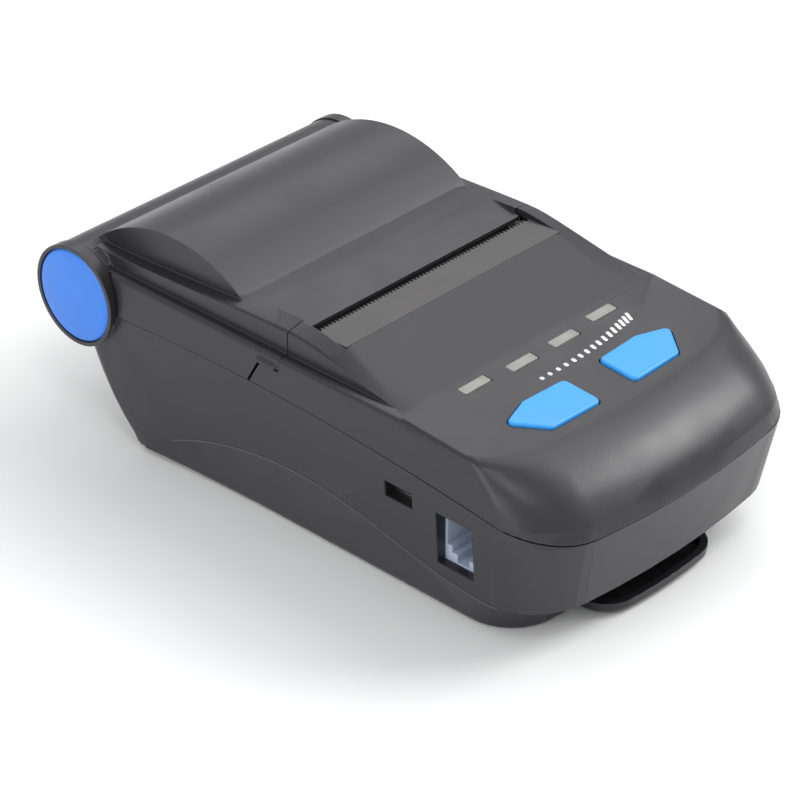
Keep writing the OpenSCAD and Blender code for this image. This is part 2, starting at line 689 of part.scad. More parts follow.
module status_windows() {
    color([0.62, 0.62, 0.58]) from_axis() intersection() {
        union() for (p = window_places) window_bar(p, 0, key_board_z + key_board_t + 1.4, 12);
        across(-40, 40) polygon([[-100, panel_z(-100)], [-80, panel_z(-80)], [-80, -10], [-100, -10]]);
    }
}

// Slice of the right half that follows the panel, between two heights over it
module panel_slice(low, high) {
    across(0, 40) polygon([[-115, panel_z(-115) + high], [-98, panel_z(-98) + high],
        [-98, panel_z(-98) + low], [-115, panel_z(-115) + low]]);
}

// Button cap: raised and dished top, flange under the panel and a stem over its switch
module button() {
    color([0.2, 0.55, 0.97]) from_axis() {
        difference() {
            intersection() {
                linear_extrude(20) button_outline();
                panel_slice(-wall - 1, button_rise);
            }
            translate([button_x, button_y, panel_z(button_y) + button_rise + 59.75]) sphere(r = 60);
        }
        intersection() {
            linear_extrude(20) button_outline(0.8);
            panel_slice(-wall - 1, -wall - 0.12);
        }
        translate([button_x, button_y, switch_top_z + button_travel + 0.05])
            cylinder(r = 1.6, h = panel_z(button_y) - wall - 0.6 - switch_top_z - button_travel);
    }
}

module left_button() {
    mirror([1, 0, 0]) button();
}

module right_button() {
    button();
}

module key_board() {
    color([0.1, 0.35, 0.2]) from_axis() difference() {
        block([-31, -114, key_board_z], [31, -86, key_board_z + key_board_t]);
        for (s = [-1, 1]) {
            translate([s * front_post_x, front_post_y, key_board_z - 1]) cylinder(r = post_r + 0.4, h = 4);
            for (y = key_post_y) translate([s * key_post_x, y, key_board_z - 1]) cylinder(r = 0.9, h = 4);
        }
    }
}

module status_leds() {
    color([0.9, 0.9, 0.8]) from_axis() for (p = window_places)
        translate([p[0], p[1], key_board_z + key_board_t])
            block([-1.6, -0.8, 0], [1.6, 0.8, 1.1]);
}

module key_switches() {
    color([0.15, 0.15, 0.16]) from_axis() for (s = [-1, 1])
        translate([s * button_x, button_y, key_board_z + key_board_t]) {
            block([-3, -3, 0], [3, 3, 1.9]);
            translate([0, 0, 1.9]) cylinder(r = 1.5, h = 0.5);
        }
}

module main_board() {
    color([0.08, 0.32, 0.18]) from_axis() difference() {
        block([-board_half, board_front_y, board_z], [board_half, board_back_y, board_z + board_t]);
        for (s = [-1, 1]) {
            translate([s * front_post_x, front_post_y, board_z - 1]) cylinder(r = post_r + 0.4, h = 4);
            for (p = board_posts) translate([s * p[0], p[1], board_z - 1]) cylinder(r = 1.0, h = 4);
            translate([s * board_half, board_front_y, board_z - 1]) rotate([0, 0, 45])
                cube([7, 7, 6], center = true);
        }
    }
}

module board_parts() {
    color([0.12, 0.12, 0.13]) from_axis() translate([0, 0, board_z + board_t]) {
        block([-6, -101, 0], [8, -88, 1.2]);
        block([14, -96, 0], [22, -90, 1.4]);
        block([-12.5, -86, 0], [12.5, -80, 2.2]);
        block([17, -85, 0], [27, -80, 2.6]);
        for (x = [-26, -20]) translate([x, -96, 0]) cylinder(r = 2.2, h = 2.6);
    }
}

module usb_socket() {
    color([0.7, 0.7, 0.72]) from_axis() translate([port_x, usb_y, usb_z]) difference() {
        block([0, -usb_w / 2, -usb_h / 2], [8, usb_w / 2, board_z - usb_z]);
        difference() {
            block([-1, -usb_w / 2 + 0.4, -usb_h / 2 + 0.4], [6.8, usb_w / 2 - 0.4, usb_h / 2 - 0.4]);
            block([0.8, -2.4, -0.3], [8, 2.4, 0.5]);
        }
    }
}

module modular_jack() {
    color([0.72, 0.78, 0.86]) from_axis() difference() {
        block([port_x, jack_front_y, jack_foot_z], [port_x + 15, jack_back_y, board_z]);
        // Plug cavity with its stepped latch keyway
        for (step = [[1, 4.5], [2.2, 3], [3.6, 1.3]])
            block([port_x - 1, jack_front_y + step[0], jack_foot_z + step[1]],
                [port_x + 12, jack_back_y - step[0], board_z - 1.1]);
    }
}

module jack_contacts() {
    color([0.85, 0.68, 0.3]) from_axis() for (i = [0:3]) translate([port_x, jack_y - i, board_z])
        block([3, 1.25, -1.9], [12, 1.75, -1.1]);
}

module battery_pack() {
    z0 = channel_z + 1.1;
    color([0.15, 0.25, 0.5]) from_axis()
        translate([0, battery_y, z0]) linear_extrude(battery_t) offset(r = 2, $fn = 24)
            square([battery_l - 4, battery_w - 4], center = true);
}

module battery_contacts() {
    color([0.85, 0.68, 0.3]) from_axis() for (i = [0:2])
        block([-6 + i * 4, battery_y - battery_w / 2 - 0.9, floor_z + channel_depth + 2],
            [-4.5 + i * 4, battery_y - battery_w / 2 - 0.3, board_z]);
}

module battery_door() {
    g = 0.25;
    color([0.22, 0.22, 0.24]) from_axis() {
        difference() {
            block([-door_half + g, door_front_y + g, foot_z],
                [door_half - g, door_back_y - g, channel_z + 1]);
            // Channel for the clip's arm
            block([-channel_half, -140, foot_z - 1], [channel_half, -clip_pin_y + clip_arm + 6, channel_z]);
            // The door's inside is open at each side of the channel
            for (s = [-1, 1]) block([s * (channel_half + door_half) / 2 - 2.6, door_front_y + 2.2, floor_z],
                [s * (channel_half + door_half) / 2 + 2.6, door_back_y - 2.2, 0]);
        }
        // Snap tongue at the rear edge
        block([-4, door_back_y - 1.1, channel_z], [4, door_back_y - g, channel_z + 3]);
    }
}

module paper_tray() {
    color([0.2, 0.2, 0.22]) from_axis() {
        difference() {
            across(-tray_half - tray_t, tray_half + tray_t) intersection() {
                translate([tray_y, tray_z]) circle(r = tray_r + tray_t);
                translate([-60, -40]) square([60, 40 + tray_z + 1.5]);
            }
            across(-tray_half, tray_half) translate([tray_y, tray_z]) circle(r = tray_r);
            rod(0, 0, barrel_r + 0.9, -60, 60);
        }
        // Feet down to the floor of the case
        for (x = [-24, 0, 24]) across(x - 1, x + 1) difference() {
            translate([tray_y - 8, floor_z]) square([13, 8]);
            translate([tray_y, tray_z]) circle(r = tray_r + 0.5);
        }
    }
}

module paper_sensor() {
    color([0.1, 0.1, 0.1]) from_axis() block([-2, -54.5, frame_floor_z + 1.5], [2, -51.5, -2.2]);
}

// Frame of the printing mechanism: side plates with open notches, an apron under the roller and
// a seat behind the head
module head_frame() {
    x1 = frame_x + frame_t;
    color([0.32, 0.33, 0.35]) from_axis() difference() {
        union() {
            mirrored() across(frame_x, x1) polygon([[-48.5, frame_floor_z], [-48.5, 2],
                [roller_y + 4.6, 8.2], [roller_y - 5, 8.2], [-68.2, 8.2], [-69, frame_floor_z]]);
            // Floor plate, apron under the roller and seat for the springs
            block([-x1, -69, frame_floor_z], [x1, -48.5, frame_floor_z + 1.5]);
            block([-x1, -69, frame_floor_z + 1], [x1, spring_seat_y, 7.5]);
            across(-x1, x1) polygon([[-48.5, frame_floor_z + 1], [-48.5, -2.4], [-57.5, -1.6], [-57.5, -2.9],
                [-50, -3.9], [-50, frame_floor_z + 1]]);
        }
        // Notches that the roller's bushes drop into
        across(-60, 60) {
            translate([roller_y, roller_z]) circle(r = bush_r + 0.15);
            polygon([[roller_y - bush_r - 0.15, roller_z], [roller_y + bush_r + 0.15, roller_z],
                [roller_y + bush_r + 1.6, 12], [roller_y - bush_r - 0.15, 12]]);
        }
        // Room for the paper tray
        across(-60, 60) intersection() {
            translate([tray_y, tray_z]) circle(r = tray_r + tray_t + 0.3);
            translate([-60, -40]) square([60, 40 + tray_z + 1.8]);
        }
        // Motor, its boss and the idler's stud
        rod(pinion_y, pinion_z, 2.55, frame_x - 1, x1 + 1);
        rod(roller_y, idler_z, 1.27, frame_x - 1, x1 + 1);
        rod(pinion_y, pinion_z, motor_r + 0.15, frame_x - motor_l - 0.6, frame_x);
        // Bores for the head's pivots
        rod(head_pivot_y, head_pivot_z, 1.05, -60, 60);
        // Windows for the paper sensor and the cable of the head
        block([-2.3, -54.8, -4.5], [2.3, -51.2, 0]);
        block([-11.5, -69.5, frame_floor_z + 1.6], [11.5, spring_seat_y + 0.5, frame_floor_z + 3.4]);
        mirrored() translate([back_post_x, back_post_y, frame_floor_z - 1]) cylinder(r = 1.13, h = 4);
    }
}

module print_head() {
    color([0.85, 0.85, 0.82]) from_axis()
        block([-head_half + 0.6, head_face_y - head_t, 0.6], [head_half - 0.6, head_face_y, slot_z - 2.9]);
}

module head_heat_sink() {
    color([0.7, 0.71, 0.73]) from_axis() {
        block([-head_half, head_face_y - head_t - sink_t, -2.7],
            [head_half, head_face_y - head_t, slot_z - 4.3]);
        mirrored() rod(head_pivot_y, head_pivot_z, 1.0, head_half - 1, frame_x + frame_t + 0.3);
    }
}

spring_wire_r = 0.28;
spring_r = 1.9;
spring_curls = 3;
module head_springs() {
    back = head_face_y - head_t - sink_t;
    seat = spring_seat_y;
    length = back - seat - 2 * (spring_wire_r + 0.1);
    echo(head_spring_gap = length / spring_curls - 2 * spring_wire_r);
    color([0.7, 0.7, 0.72]) from_axis() for (x = [-16, 16])
        translate([x, seat + spring_wire_r + 0.1, 5]) rotate([-90, 0, 0])
            wire_along(helix_points(spring_r, length / spring_curls, spring_curls, 8), spring_wire_r);
}

module head_cable() {
    y0 = head_face_y - head_t - sink_t - 0.2;
    z0 = frame_floor_z + 2.4;
    t = 0.3;
    color([0.75, 0.6, 0.3]) from_axis() across(-11, 11)
        polygon([[y0, 0.5], [y0, z0 - t + 0.5], [y0 - 0.5, z0 - t], [-71, z0 - t], [-75, -3.9 - t],
            [-79.9, -3.9 - t], [-79.9, -3.9], [-75, -3.9], [-71, z0], [y0 - 0.7, z0],
            [y0 - t, z0 + 0.4], [y0 - t, 0.5]]);
}

module stepper_motor() {
    color([0.6, 0.61, 0.63]) from_axis() {
        rod(pinion_y, pinion_z, motor_r, frame_x - motor_l, frame_x);
        rod(pinion_y, pinion_z, 2.5, frame_x, frame_x + frame_t);
    }
}

module motor_pinion() {
    color([0.85, 0.68, 0.3]) from_axis() {
        gear(pinion_y, pinion_z, pinion_teeth, pinion_turn, 0.75);
        rod(pinion_y, pinion_z, 0.75, frame_x + frame_t + 0.1, gear_x + gear_w + 0.4);
    }
}

module idler_gear() {
    color([0.92, 0.92, 0.9]) from_axis() gear(roller_y, idler_z, idler_teeth, idler_turn, 1.05);
}

module idler_stud() {
    color([0.7, 0.7, 0.72]) from_axis() {
        rod(roller_y, idler_z, 1.0, frame_x - 0.5, gear_x + gear_w + 0.3);
        rod(roller_y, idler_z, 1.8, gear_x + gear_w + 0.3, gear_x + gear_w + 0.8);
        rod(roller_y, idler_z, 1.25, frame_x, frame_x + frame_t);
    }
}

module roller_bracket() {
    color([0.72, 0.73, 0.75]) from_axis() difference() {
        union() {
            for (s = [-1, 1]) across(s > 0 ? bracket_x : -bracket_x - bracket_t,
                s > 0 ? bracket_x + bracket_t : -bracket_x) {
                translate([roller_y, roller_z]) circle(r = 3);
                polygon([[roller_y - 1.5, roller_z + 2.598], [-49, bracket_top_z], [-42, bracket_top_z],
                    [-42, bracket_top_z - 0.8], [roller_y + 1, roller_z - 2.828]]);
            }
            block([-bracket_x - bracket_t, -48.5, bracket_top_z - 0.8],
                [bracket_x + bracket_t, -42, bracket_top_z]);
        }
        rod(roller_y, roller_z, shaft_r + 0.4, -60, 60);
        for (s = [-1, 1]) translate([s * bracket_screw_x, bracket_screw_y, 8]) cylinder(r = 1.0, h = 2);
    }
}

module roller_bushes() {
    color([0.93, 0.93, 0.9]) from_axis() for (s = [-1, 1]) {
        x0 = bracket_x + bracket_t + 0.1;
        x1 = frame_x + frame_t + 0.15;
        translate([s * x0, roller_y, roller_z]) rotate([0, s * 90, 0]) difference() {
            cylinder(r = bush_r, h = x1 - x0);
            translate([0, 0, -1]) cylinder(r = shaft_r + 0.03, h = 5);
        }
        translate([s * (x0 - bracket_t - 0.2), roller_y, roller_z]) rotate([0, s * 90, 0]) difference() {
            cylinder(r = shaft_r + 0.35, h = bracket_t + 0.3);
            translate([0, 0, -1]) cylinder(r = shaft_r + 0.03, h = 5);
        }
    }
}

module roller_rubber() {
    color([0.12, 0.12, 0.13]) from_axis() difference() {
        rod(roller_y, roller_z, roller_r, -roller_half, roller_half);
        rod(roller_y, roller_z, shaft_r + 0.6, -60, 60);
    }
}

module roller_shaft() {
    color([0.78, 0.79, 0.8]) from_axis() {
        rod(roller_y, roller_z, shaft_r, -frame_x - frame_t - 0.8, gear_x + gear_w + 0.2);
        rod(roller_y, roller_z, shaft_r + 0.6, -roller_half, roller_half);
    }
}

module roller_gear() {
    color([0.92, 0.92, 0.9]) from_axis() gear(roller_y, roller_z, roller_teeth, roller_turn, shaft_r);
}

// Pan-head screw pointing up, its head's underside at z
module screw(x, y, z, length, r = 1.1, head_r = 2.1) {
    translate([x, y, z]) {
        cylinder(r = r, h = length);
        translate([0, 0, -1.2]) difference() {
            cylinder(r = head_r, h = 1.2);
            for (a = [0, 90]) rotate([0, 0, a]) translate([-1.2, -0.25, -1]) cube([2.4, 0.5, 1.6]);
        }
    }
}

module case_screws() {
    color([0.5, 0.5, 0.52]) from_axis() for (s = [-1, 1]) {
        screw(s * front_post_x, front_post_y, floor_z + 1.38, 30.5, 0.9);
        screw(s * back_post_x, back_post_y, floor_z + 1.38, frame_floor_z + 1.4 - floor_z, 1.1);
    }
}

module board_screws() {
    color([0.6, 0.6, 0.62]) from_axis() for (s = [-1, 1]) {
        for (p = board_posts)
            translate([s * p[0], p[1], board_z + board_t]) rotate([180, 0, 0]) screw(0, 0, 0, 5, 0.8, 1.7);
        for (y = key_post_y) screw(s * key_post_x, y, key_board_z, 4.5, 0.7, 1.6);
    }
}

module bracket_screws() {
    color([0.6, 0.6, 0.62]) from_axis() for (s = [-1, 1])
        screw(s * bracket_screw_x, bracket_screw_y, bracket_top_z - 0.8, 3, 0.8, 1.7);
}

// Sprung belt clip: finger tray at the front, arm along the underside
module belt_clip() {
    arm_end = -clip_pin_y + clip_arm;
    tab_back = -clip_pin_y - 2.2;
    color([0.1, 0.1, 0.11]) from_axis() difference() {
        union() {
            // Finger tray
            skin([plan_ring(tab_z, clip_half - 0.7, tab_front_y + 0.7, tab_back, 7, 0.5, 0.5),
                plan_ring(tab_z + 0.8, clip_half - 0.1, tab_front_y + 0.1, tab_back, 7.4, 0.5, 0.5),
                plan_ring(tab_z + 2.4, clip_half, tab_front_y, tab_back, 7.5, 0.5, 0.5)]);
            // Arm with a turned-down tip
            across(-arm_half, arm_half) polygon([[-clip_pin_y - 3, tab_z + 2.2], [-clip_pin_y - 3, tab_z],
                [-clip_pin_y - 1, clip_z + 0.1], [arm_end - 5, clip_z], [arm_end - 2, clip_z],
                [arm_end, clip_z + 0.8], [arm_end, clip_z + 1.6], [arm_end - 3, clip_z + 1.6],
                [-clip_pin_y + 1.5, clip_z + 1.8], [-clip_pin_y, clip_pin_z]]);
            rod(-clip_pin_y, clip_pin_z, 2.0, -arm_half, arm_half);
        }
        // Hollow of the tray
        skin([plan_ring(tab_z + 1.2, clip_half - 1.9, tab_front_y + 1.9, tab_back - 2, 6, 1, 0.5),
            plan_ring(tab_z + 4, clip_half - 1.2, tab_front_y + 1.2, tab_back - 1.5, 6.5, 1, 0.5)]);
        rod(-clip_pin_y, clip_pin_z, clip_pin_r + 0.05, -60, 60);
        // Window for the spring
        block([-5, -clip_pin_y - 2.6, foot_z - 1], [5, -clip_pin_y + 4.6, -20]);
        block([-5, tab_back - 2.1, tab_z + 1.2], [5, tab_back + 1, -20]);
    }
}

module clip_pin() {
    color([0.75, 0.76, 0.78]) from_axis()
        rod(-clip_pin_y, clip_pin_z, clip_pin_r, -arm_half - 3, arm_half + 3);
}

clip_wire_r = 0.3;
clip_curls = 5;
clip_pitch = 1.15;
// Torsion spring on the clip's pin. One leg lies on the finger tray, the other under the case.
module clip_spring() {
    r = clip_pin_r + 0.15 + clip_wire_r;
    leg = clip_pin_z - (tab_z + 1.2 + clip_wire_r + 0.02);
    echo(clip_spring_gap = clip_pitch - 2 * clip_wire_r);
    color([0.7, 0.7, 0.72]) from_axis() translate([-clip_curls * clip_pitch / 2, -clip_pin_y, clip_pin_z])
        rotate([0, 90, 0]) wire_along(concat([[-r, 4.2, 0], [-r, 1.4, 0]],
            [for (p = helix_points(r, clip_pitch, clip_curls, 8)) [-p[0], -p[1], p[2]]],
            [[-r, -1.4, clip_curls * clip_pitch], [leg, -5.6, clip_curls * clip_pitch]]), clip_wire_r);
}

lower_case();
top_cover();
lid_shell();
tear_bar();
hinge_cap_left();
hinge_cap_right();
hinge_pins();
status_windows();
left_button();
right_button();
key_board();
status_leds();
key_switches();
main_board();
board_parts();
usb_socket();
modular_jack();
jack_contacts();
battery_pack();
battery_contacts();
battery_door();
paper_tray();
paper_sensor();
head_frame();
print_head();
head_heat_sink();
head_springs();
head_cable();
stepper_motor();
motor_pinion();
idler_gear();
idler_stud();
roller_bracket();
roller_bushes();
roller_rubber();
roller_shaft();
roller_gear();
case_screws();
board_screws();
bracket_screws();
belt_clip();
clip_pin();
clip_spring();
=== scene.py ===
# %% [markdown]
# # A portable receipt printer
# This lesson dresses a small printer for 58 mm paper rolls. The mechanical model comes first and is
# never moved: it gives the place of every part. Here its shells get smooth shading and fine finishes,
# and the parts that a hand touches, such as the keys, are modelled again with softer shapes.

# %% Load the fixed frame
import bpy
import bmesh
import json
import math
import numpy as np
from mathutils import Matrix, Vector

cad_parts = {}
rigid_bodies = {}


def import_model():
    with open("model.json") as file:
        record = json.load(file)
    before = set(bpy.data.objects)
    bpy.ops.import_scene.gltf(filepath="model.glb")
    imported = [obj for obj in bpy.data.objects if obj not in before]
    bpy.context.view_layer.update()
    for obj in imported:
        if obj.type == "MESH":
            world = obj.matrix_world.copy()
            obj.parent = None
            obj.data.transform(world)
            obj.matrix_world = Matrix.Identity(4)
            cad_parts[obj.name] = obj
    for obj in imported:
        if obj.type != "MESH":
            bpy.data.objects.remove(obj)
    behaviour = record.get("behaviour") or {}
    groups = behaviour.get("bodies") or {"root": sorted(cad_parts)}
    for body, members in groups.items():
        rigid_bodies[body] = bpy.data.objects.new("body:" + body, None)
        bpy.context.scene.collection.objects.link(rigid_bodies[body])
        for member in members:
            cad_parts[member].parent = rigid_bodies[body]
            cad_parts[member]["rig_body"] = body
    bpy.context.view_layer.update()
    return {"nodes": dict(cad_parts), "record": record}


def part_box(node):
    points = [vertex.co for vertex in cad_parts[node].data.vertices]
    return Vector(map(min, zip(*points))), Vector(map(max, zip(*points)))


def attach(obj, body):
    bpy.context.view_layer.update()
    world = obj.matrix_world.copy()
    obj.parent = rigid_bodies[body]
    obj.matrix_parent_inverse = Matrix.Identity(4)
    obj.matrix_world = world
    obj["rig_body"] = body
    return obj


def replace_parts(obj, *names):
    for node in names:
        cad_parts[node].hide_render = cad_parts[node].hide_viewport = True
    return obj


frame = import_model()
nodes = frame["nodes"]

# %% [markdown]
# ## Measures
# A printer like this is drawn round the hinge of its lid, because every moving thing is set out from
# it. So all places below are given in millimetres from the hinge axis, and one function turns them
# into metres in the frame.

# %% Places from the hinge axis
MM = 0.001
HINGE_Y, HINGE_Z = 59.7, 33.2


def at(x, y, z):
    return Vector((x, y + HINGE_Y, z + HINGE_Z)) * MM


low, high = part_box("lower_case")
print("case:", [round(side / MM, 1) for side in (high - low)], "mm")

# %% [markdown]
# ## Camera
# The camera stands a little above the front left corner and has a long lens, so that the sides stay
# nearly parallel. Its place could be set by eye. It was found by matching edges of known size
# instead, because then every other edge can be compared too.

# %% Camera with a long lens
CAMERA_PLACE = (-415.6, -445.0, 337.5)
CAMERA_TURN, CAMERA_RISE = math.radians(-46.74), math.radians(32.09)
LENS, FILM_WIDTH = 147.1, 36.0
NEAREST, FARTHEST = 0.05, 5.0


def place_object(name, data):
    made = bpy.data.objects.new(name, data)
    bpy.context.scene.collection.objects.link(made)
    return made


towards_camera = Vector((math.sin(CAMERA_TURN) * math.cos(CAMERA_RISE),
                         -math.cos(CAMERA_TURN) * math.cos(CAMERA_RISE), math.sin(CAMERA_RISE)))
camera_data = bpy.data.cameras.new("camera")
camera_data.lens, camera_data.sensor_width = LENS, FILM_WIDTH
camera_data.clip_start, camera_data.clip_end = NEAREST, FARTHEST
camera = place_object("camera", camera_data)
camera.rotation_mode = "QUATERNION"
camera.location = at(*CAMERA_PLACE)
camera.rotation_quaternion = (-towards_camera).to_track_quat("-Z", "Y")
bpy.context.scene.camera = camera
print("camera at", [round(v, 3) for v in camera.location])

# %% [markdown]
# ## A helper for nodes
# Materials are trees of nodes. They could be wired by hand in the editor, but a recipe in text is
# easier to repeat. One short function adds a node, sets its plain values and joins the inputs that
# are given as sockets, so that each recipe below reads like a list of ingredients. A second one
# starts a group with named inputs and outputs, for effects that several finishes share.

# %% Add one node, or start a group
def put(tree, kind, inputs=None, **settings):
    made = tree.nodes.new("ShaderNode" + kind)
    for name, value in settings.items():
        setattr(made, name, value)
    for key, value in (inputs or {}).items():
        if isinstance(value, bpy.types.NodeSocket):
            tree.links.new(value, made.inputs[key])
        else:
            made.inputs[key].default_value = value
    return made


def new_group(name, inputs, outputs):
    tree = bpy.data.node_groups.new(name, "ShaderNodeTree")
    for title, value in inputs:
        socket = tree.interface.new_socket(name=title, in_out="INPUT", socket_type="NodeSocketFloat")
        socket.default_value = value
    for title, kind in outputs:
        tree.interface.new_socket(name=title, in_out="OUTPUT", socket_type="NodeSocket" + kind)
    return tree, tree.nodes.new("NodeGroupInput"), tree.nodes.new("NodeGroupOutput")


print("node helpers ready")

# %% [markdown]
# ## Tent and table
# Small goods are photographed in a tent of white cloth, on a white table. A bright tent alone would
# light the dark plastic from everywhere and leave it flat, so this one is even and dim, and lamps do
# the shaping. The table is far wider than the picture, so that none of its edges shows.

# %% Dim tent and white table
TENT_COLOUR, TENT_POWER = (0.98, 0.99, 1.0, 1), 0.64
TABLE_HALF = 3.0
bpy.context.scene.view_settings.view_transform = "Standard"

world = bpy.data.worlds.new("studio")
bpy.context.scene.world = world
world.use_nodes = True
sky = world.node_tree
sky.nodes.clear()
tent = put(sky, "Background", {"Color": TENT_COLOUR, "Strength": TENT_POWER})
put(sky, "OutputWorld", {"Surface": tent.outputs[0]})

table_white = bpy.data.materials.new("table_white")
table_white.use_nodes = True
table_shader = table_white.node_tree.nodes["Principled BSDF"]
table_shader.inputs["Base Color"].default_value = (0.93, 0.93, 0.93, 1)
table_shader.inputs["Roughness"].default_value = 0.8
table_shader.inputs["Specular IOR Level"].default_value = 0.2
table_mesh = bpy.data.meshes.new("table")
table_mesh.materials.append(table_white)
shape = bmesh.new()
bmesh.ops.create_grid(shape, x_segments=1, y_segments=1, size=TABLE_HALF)
shape.to_mesh(table_mesh)
shape.free()
table = place_object("table", table_mesh)
print("table:", 2 * TABLE_HALF, "m wide")

# %% [markdown]
# ## Lamps
# Five soft square lamps shape the printer: a small lamp gives a narrow highlight, a large one a broad
# one. The key lamp at the front right draws the broad highlight over the nose, and a small one above
# the front left corner draws the thin band there. The others lift the sides and the top, so that a
# colour comes out about as it is written.

# %% Five soft lamps
LAMP_AWAY, LAMP_AIM = 0.95, Vector((0, 0, 0.03))
# Name, height and turn in degrees, size in metres and power in watts
LAMPS = (("lamp_key", 36, 55, 0.40, 4.2), ("lamp_high", 55, 78, 0.60, 2.2),
         ("lamp_left", 22, 270, 0.70, 3.2), ("lamp_back", 42, 132, 0.50, 1.1),
         ("lamp_corner", 56, 318, 0.18, 0.7))

for name, height, turn, size, power in LAMPS:
    lamp_data = bpy.data.lights.new(name, "AREA")
    lamp_data.shape, lamp_data.size, lamp_data.energy = "SQUARE", size, power
    lamp = place_object(name, lamp_data)
    rise, swing = math.radians(height), math.radians(turn)
    away = Vector((math.cos(rise) * math.sin(swing), -math.cos(rise) * math.cos(swing), math.sin(rise)))
    lamp.location = LAMP_AWAY * away + LAMP_AIM
    lamp.rotation_mode = "QUATERNION"
    lamp.rotation_quaternion = away.to_track_quat("Z", "Y")
print("lamps:", len(LAMPS))

# %% [markdown]
# ## Grain
# The mould of a plastic part is etched, which leaves a fine grain, and skin and cloth polish some
# places more than others. A picture of grain would show its pixels close up, so two noises in the
# part's own coordinates are used: a fine one for the height of the grain, and a broad one, the
# mottle, for colour and shine. The group is built once and set differently in each finish.

# %% The grain of an etched mould
grain, given, result = new_group("moulded_grain", (("Grain Size", 0.4), ("Mottle Size", 6.0)),
                                 (("Height", "Float"), ("Mottle", "Float")))
place = put(grain, "TexCoord")
for size, output, detail, roughness in (("Grain Size", "Height", 3.0, 0.6),
                                        ("Mottle Size", "Mottle", 2.0, 0.5)):
    per_metre = put(grain, "Math", {0: 1 / MM, 1: given.outputs[size]}, operation="DIVIDE")
    noise = put(grain, "TexNoise", {"Vector": place.outputs["Object"], "Scale": per_metre.outputs[0],
                                    "Detail": detail, "Roughness": roughness})
    grain.links.new(noise.outputs[0], result.inputs[output])
print("group:", grain.name)

# %% [markdown]
# ## Edge wear and painted edge highlights
# Moulded edges are rounded by a few tenths of a millimetre, and they rub lighter with use. Modelled
# bevels on every part would cost many faces, so a Bevel node bends the normal near each edge. Where
# the bent normal leaves the plain one there must be an edge, which gives the mask for a lighter edge
# tone, partly wear and partly a painted highlight, and a noise breaks the mask up.

# %% Rounded edges, rubbed and with painted highlights
EDGE_MASK_STARTS, EDGE_MASK_FULL, EDGE_SPECKS = 0.998, 0.9, 900.0

edges, given, result = new_group("edge_wear_and_highlight", (("Radius", 0.0003),),
                                 (("Mask", "Float"), ("Normal", "Vector")))
rounded = put(edges, "Bevel", {"Radius": given.outputs["Radius"]}, samples=6)
flat = put(edges, "NewGeometry")
turned = put(edges, "VectorMath", {0: rounded.outputs[0], 1: flat.outputs["Normal"]},
             operation="DOT_PRODUCT")
off = put(edges, "MapRange", {"Value": turned.outputs["Value"], "From Min": EDGE_MASK_STARTS,
                              "From Max": EDGE_MASK_FULL, "To Min": 0.0, "To Max": 1.0})
place = put(edges, "TexCoord")
specks = put(edges, "TexNoise", {"Vector": place.outputs["Object"], "Scale": EDGE_SPECKS, "Detail": 2.0})
wear_and_highlight = put(edges, "Math", {0: off.outputs[0], 1: specks.outputs[0]}, operation="MULTIPLY")
edges.links.new(wear_and_highlight.outputs[0], result.inputs["Mask"])
edges.links.new(rounded.outputs[0], result.inputs["Normal"])
print("group:", edges.name)

# %% [markdown]
# ## Moulded plastics
# Each finish starts from the Principled shader. The plastics could have a tree of their own each, but
# they are all moulded, so they share one recipe: a base colour, broken up a little by the mottle, a
# lighter tone on the edges, which is partly rubbing and partly a painted highlight, a satin roughness,
# and the grain for the bump. Sizes of the grain, the mottle and the edge radius are in millimetres.

# %% Recipe for a moulded plastic
GRAIN_HIGH = 0.00005
materials = {}


def new_finish(name):
    materials[name] = bpy.data.materials.new(name)
    materials[name].use_nodes = True
    tree = materials[name].node_tree
    return tree, tree.nodes["Principled BSDF"]


def tone(colour, factor):
    return tuple(min(1.0, c * factor) for c in colour[:3]) + (1,)


def blend(tree, share, first, second):
    return put(tree, "Mix", {0: share, 6: first, 7: second}, data_type="RGBA").outputs[2]


def moulded(name, colour, roughness, grain_size=0.4, depth=0.25, edge_tone=1.6, radius=0.25, mottle=7.0,
            gloss=0.5):
    tree, shader = new_finish(name)
    skin = put(tree, "Group", {"Grain Size": grain_size, "Mottle Size": mottle}, node_tree=grain)
    edge = put(tree, "Group", {"Radius": radius * MM}, node_tree=edges)
    base = blend(tree, skin.outputs["Mottle"], tone(colour, 0.93), tone(colour, 1.07))
    worn_and_highlit = blend(tree, edge.outputs["Mask"], base, tone(colour, edge_tone))
    rough = put(tree, "MapRange", {"Value": skin.outputs["Mottle"], "From Min": 0.3, "From Max": 0.7,
                                   "To Min": roughness - 0.03, "To Max": roughness + 0.04})
    bump = put(tree, "Bump", {"Strength": depth, "Distance": GRAIN_HIGH,
                              "Height": skin.outputs["Height"], "Normal": edge.outputs["Normal"]})
    tree.links.new(worn_and_highlit, shader.inputs["Base Color"])
    tree.links.new(rough.outputs[0], shader.inputs["Roughness"])
    tree.links.new(bump.outputs[0], shader.inputs["Normal"])
    shader.inputs["Specular IOR Level"].default_value = gloss
    return shader


# A large edge tone, as in the case and clip plastics, paints a highlight along the edges besides the
# wear
moulded("case_plastic", (0.0225, 0.0215, 0.0255), 0.33, depth=0.35, edge_tone=4.0, radius=0.3, mottle=9.0)
moulded("blue_plastic", (0.036, 0.205, 0.74), 0.38, grain_size=0.3, depth=0.12, edge_tone=1.12, radius=0.2)
moulded("key_blue", (0.035, 0.345, 0.90), 0.36, grain_size=0.3, depth=0.10, edge_tone=1.12, radius=0.2)
moulded("tear_bar", (0.056, 0.052, 0.052), 0.36, grain_size=0.3, depth=0.2, edge_tone=1.5, radius=0.12)
